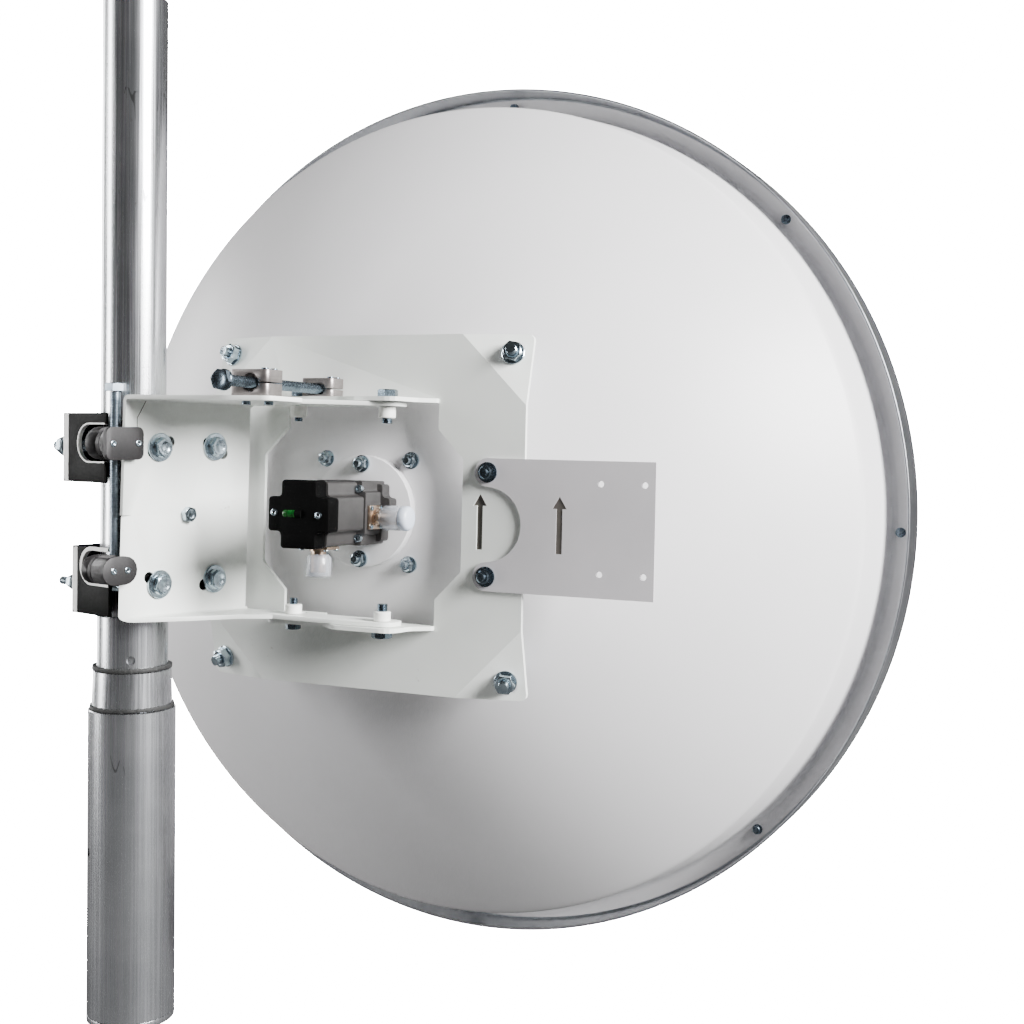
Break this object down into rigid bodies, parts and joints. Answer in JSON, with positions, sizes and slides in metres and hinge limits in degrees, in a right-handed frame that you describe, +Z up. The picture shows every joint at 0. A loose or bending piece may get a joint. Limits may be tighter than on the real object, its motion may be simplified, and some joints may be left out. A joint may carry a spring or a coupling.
{
  "type": "parabolic dish antenna",
  "caption": "Rear-mounted parabolic dish antenna on a stepped tube mast, with a clamp, screw adjusters for elevation and azimuth, a feed unit and a side plate.",
  "frame": {"origin": "centre of the mast's foot, on the flat face that stands on its support", "axes": "+Z up along the mast; +Y the way the dish points at rest, level with the ground; +X to the right, seen from behind the dish"},
  "size_m": [0.95, 0.5275, 0.9724],
  "materials": {
    "mast_metal": "drawn tube, scratched and dull",
    "seal": "matt, ragged with age",
    "black_coat": "black coat, semi-gloss",
    "zinc": "bright zinc, a little tarnished",
    "dark_block": "dark grey, machined",
    "white_paint": "off-white powder coat",
    "grey_block": "brushed",
    "dish_paint": "satin light grey",
    "hoop_metal": "bright rolled strip",
    "grey_plate": "satin light grey",
    "feed_casting": "rough casting",
    "feed_plastic": "black moulding",
    "clear_cap": "milky cap over a metal connector"
  },
  "bodies": {
    "mast": {"mast_foot_plug": "mast_metal", "lower_mast_tube": "mast_metal", "mast_collar": "mast_metal", "middle_mast_tube": "mast_metal", "upper_mast_tube": "mast_metal", "upper_seal_ring": "seal", "lower_seal_ring": "seal", "upper_clamp_jaw": "black_coat", "lower_clamp_jaw": "black_coat", "clamp_plate": "black_coat", "upper_near_clamp_bolt": "zinc", "upper_far_clamp_bolt": "zinc", "lower_near_clamp_bolt": "zinc", "lower_far_clamp_bolt": "zinc", "upper_near_web_bolt": "zinc", "upper_far_web_bolt": "zinc", "lower_near_web_bolt": "zinc", "lower_far_web_bolt": "zinc", "tilt_pivot_bolt": "zinc", "upper_adjuster_block": "dark_block", "lower_adjuster_block": "dark_block", "elevation_screw": "zinc"},
    "head": {"mast_bracket": "white_paint", "azimuth_block_rear": "grey_block", "azimuth_screw": "zinc"},
    "antenna": {"azimuth_block_front": "grey_block", "mount_plate": "white_paint", "upper_pivot_bolt": "zinc", "lower_pivot_bolt": "zinc", "upper_lock_bolt": "zinc", "lower_lock_bolt": "zinc", "upper_near_corner_bolt": "zinc", "upper_far_corner_bolt": "zinc", "lower_near_corner_bolt": "zinc", "lower_far_corner_bolt": "zinc", "reflector": "dish_paint", "rim_hoop": "hoop_metal", "side_plate": "grey_plate", "feed_disc": "dish_paint", "feed_body": "feed_casting", "feed_cap": "feed_plastic", "side_connector": "clear_cap", "lower_connector": "clear_cap", "feed_tube": "hoop_metal", "subreflector": "dish_paint"}
  },
  "joints": [
    {"name": "elevation_adjust", "type": "hinge", "parent": "mast", "child": "head", "pos_m": [0.05045, 0.01443, 0.48], "axis": [0.9659, -0.2588, 0], "range_deg": [-6.35, 9.65]},
    {"name": "azimuth_adjust", "type": "hinge", "parent": "head", "child": "antenna", "pos_m": [0.23603, 0.06963, 0.48308], "axis": [0.0074, 0.0278, 0.9996], "range_deg": [-8.5, 1.5]}
  ]
}
